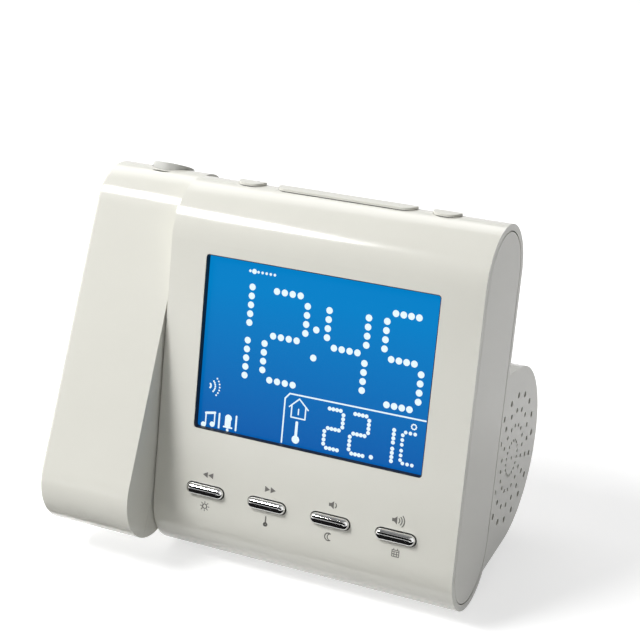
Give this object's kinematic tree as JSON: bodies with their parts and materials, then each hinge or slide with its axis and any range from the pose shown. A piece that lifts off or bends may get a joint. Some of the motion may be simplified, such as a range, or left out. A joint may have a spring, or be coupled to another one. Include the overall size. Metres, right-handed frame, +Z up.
{
  "type": "projection alarm clock",
  "caption": "Leaning table alarm clock with a blue dot display, front and top buttons, a side speaker and a projector arm that turns on its left end.",
  "frame": {"origin": "on the table under the middle of the clock's outline", "axes": "+X to the viewer's right along the cabinet, +Y from the display towards the back, +Z up"},
  "size_m": [0.1318, 0.0948, 0.1173],
  "materials": {
    "cabinet": "gloss",
    "chrome": "polished",
    "white_key": "gloss",
    "black_frame": "matte",
    "lcd_glass": "gloss",
    "light_guide": "satin",
    "white_frame": "matte",
    "circuit_board": "satin",
    "chip": "matte",
    "switch": "matte",
    "steel": "satin",
    "magnet": "matte",
    "paper_cone": "matte",
    "brass": "satin",
    "jack_plastic": "satin",
    "rubber": "matte",
    "lens_glass": "gloss",
    "lamp": "gloss",
    "grey_ring": "satin"
  },
  "bodies": {
    "clock": {"front_cabinet": "cabinet", "rear_cover": "cabinet", "right_end_cap": "cabinet", "left_end_plate": "cabinet", "speaker_cover": "cabinet", "speaker_frame": "steel", "speaker_cone": "paper_cone", "speaker_magnet": "magnet", "speaker_screws": "steel", "lcd_bezel": "black_frame", "lcd_glass": "lcd_glass", "lcd_diffuser": "light_guide", "lcd_holder": "white_frame", "main_board": "circuit_board", "board_chips": "chip", "key_board": "circuit_board", "top_key_board": "circuit_board", "power_board": "circuit_board", "front_key_switches": "switch", "top_key_switches": "switch", "dc_jack": "jack_plastic", "dc_jack_pin": "brass", "coin_cell": "steel", "battery_contacts": "brass", "cover_screws": "steel", "board_screws": "steel", "front_feet": "rubber", "rear_feet": "rubber"},
    "projector_arm": {"arm_front_shell": "cabinet", "arm_rear_shell": "cabinet", "arm_screws": "steel", "pivot_hub": "jack_plastic", "pivot_washer": "steel", "pivot_retainer": "steel", "projector_barrel": "jack_plastic", "led_board": "circuit_board", "projector_led": "lamp", "condenser_lens": "lens_glass", "projection_display": "black_frame"},
    "focus_ring": {"focus_ring": "grey_ring"},
    "lens_cell": {"lens_cell": "jack_plastic", "projection_lens": "lens_glass"},
    "battery_door": {"battery_door": "cabinet"},
    "rewind_button": {"rewind_button": "chrome"},
    "forward_button": {"forward_button": "chrome"},
    "volume_down_button": {"volume_down_button": "chrome"},
    "volume_up_button": {"volume_up_button": "chrome"},
    "alarm_button": {"alarm_button": "white_key"},
    "snooze_bar": {"snooze_bar": "white_key"},
    "sleep_button": {"sleep_button": "white_key"}
  },
  "joints": [
    {"name": "arm_swing", "type": "hinge", "parent": "clock", "child": "projector_arm", "pos_m": [0.0157, -0.00099, 0.08329], "axis": [-1, 0, 0], "range_deg": [-105, 75]},
    {"name": "focus_turn", "type": "hinge", "parent": "projector_arm", "child": "focus_ring", "pos_m": [-0.0493, -0.00099, 0.08329], "axis": [0, 0.4631, 0.8863], "range_deg": [-172, 172]},
    {"name": "lens_focus", "type": "slide", "parent": "projector_arm", "child": "lens_cell", "axis": [0, 0.4631, 0.8863], "range_m": [-0.0012, 0.0012]},
    {"name": "battery_door_off", "type": "slide", "parent": "clock", "child": "battery_door", "axis": [0, 0.9761, -0.2175], "range_m": [0, 0.048]},
    {"name": "rewind_button_press", "type": "slide", "parent": "clock", "child": "rewind_button", "axis": [0, 0.9761, -0.2175], "range_m": [0, 0.0006], "stiffness_N_per_m": 600, "springref_m": -0.0005},
    {"name": "forward_button_press", "type": "slide", "parent": "clock", "child": "forward_button", "axis": [0, 0.9761, -0.2175], "range_m": [0, 0.0006], "stiffness_N_per_m": 600, "springref_m": -0.0005},
    {"name": "volume_down_button_press", "type": "slide", "parent": "clock", "child": "volume_down_button", "axis": [0, 0.9761, -0.2175], "range_m": [0, 0.0006], "stiffness_N_per_m": 600, "springref_m": -0.0005},
    {"name": "volume_up_button_press", "type": "slide", "parent": "clock", "child": "volume_up_button", "axis": [0, 0.9761, -0.2175], "range_m": [0, 0.0006], "stiffness_N_per_m": 600, "springref_m": -0.0005},
    {"name": "alarm_button_press", "type": "slide", "parent": "clock", "child": "alarm_button", "axis": [0, -0.2175, -0.9761], "range_m": [0, 0.0008], "stiffness_N_per_m": 600, "springref_m": -0.0005},
    {"name": "snooze_bar_press", "type": "slide", "parent": "clock", "child": "snooze_bar", "axis": [0, -0.2175, -0.9761], "range_m": [0, 0.0008], "stiffness_N_per_m": 600, "springref_m": -0.0005},
    {"name": "sleep_button_press", "type": "slide", "parent": "clock", "child": "sleep_button", "axis": [0, -0.2175, -0.9761], "range_m": [0, 0.0008], "stiffness_N_per_m": 600, "springref_m": -0.0005}
  ],
  "couplings": [
    {"joint": "focus_turn", "follows": "lens_focus", "rad_per_m": 2472.6}
  ]
}
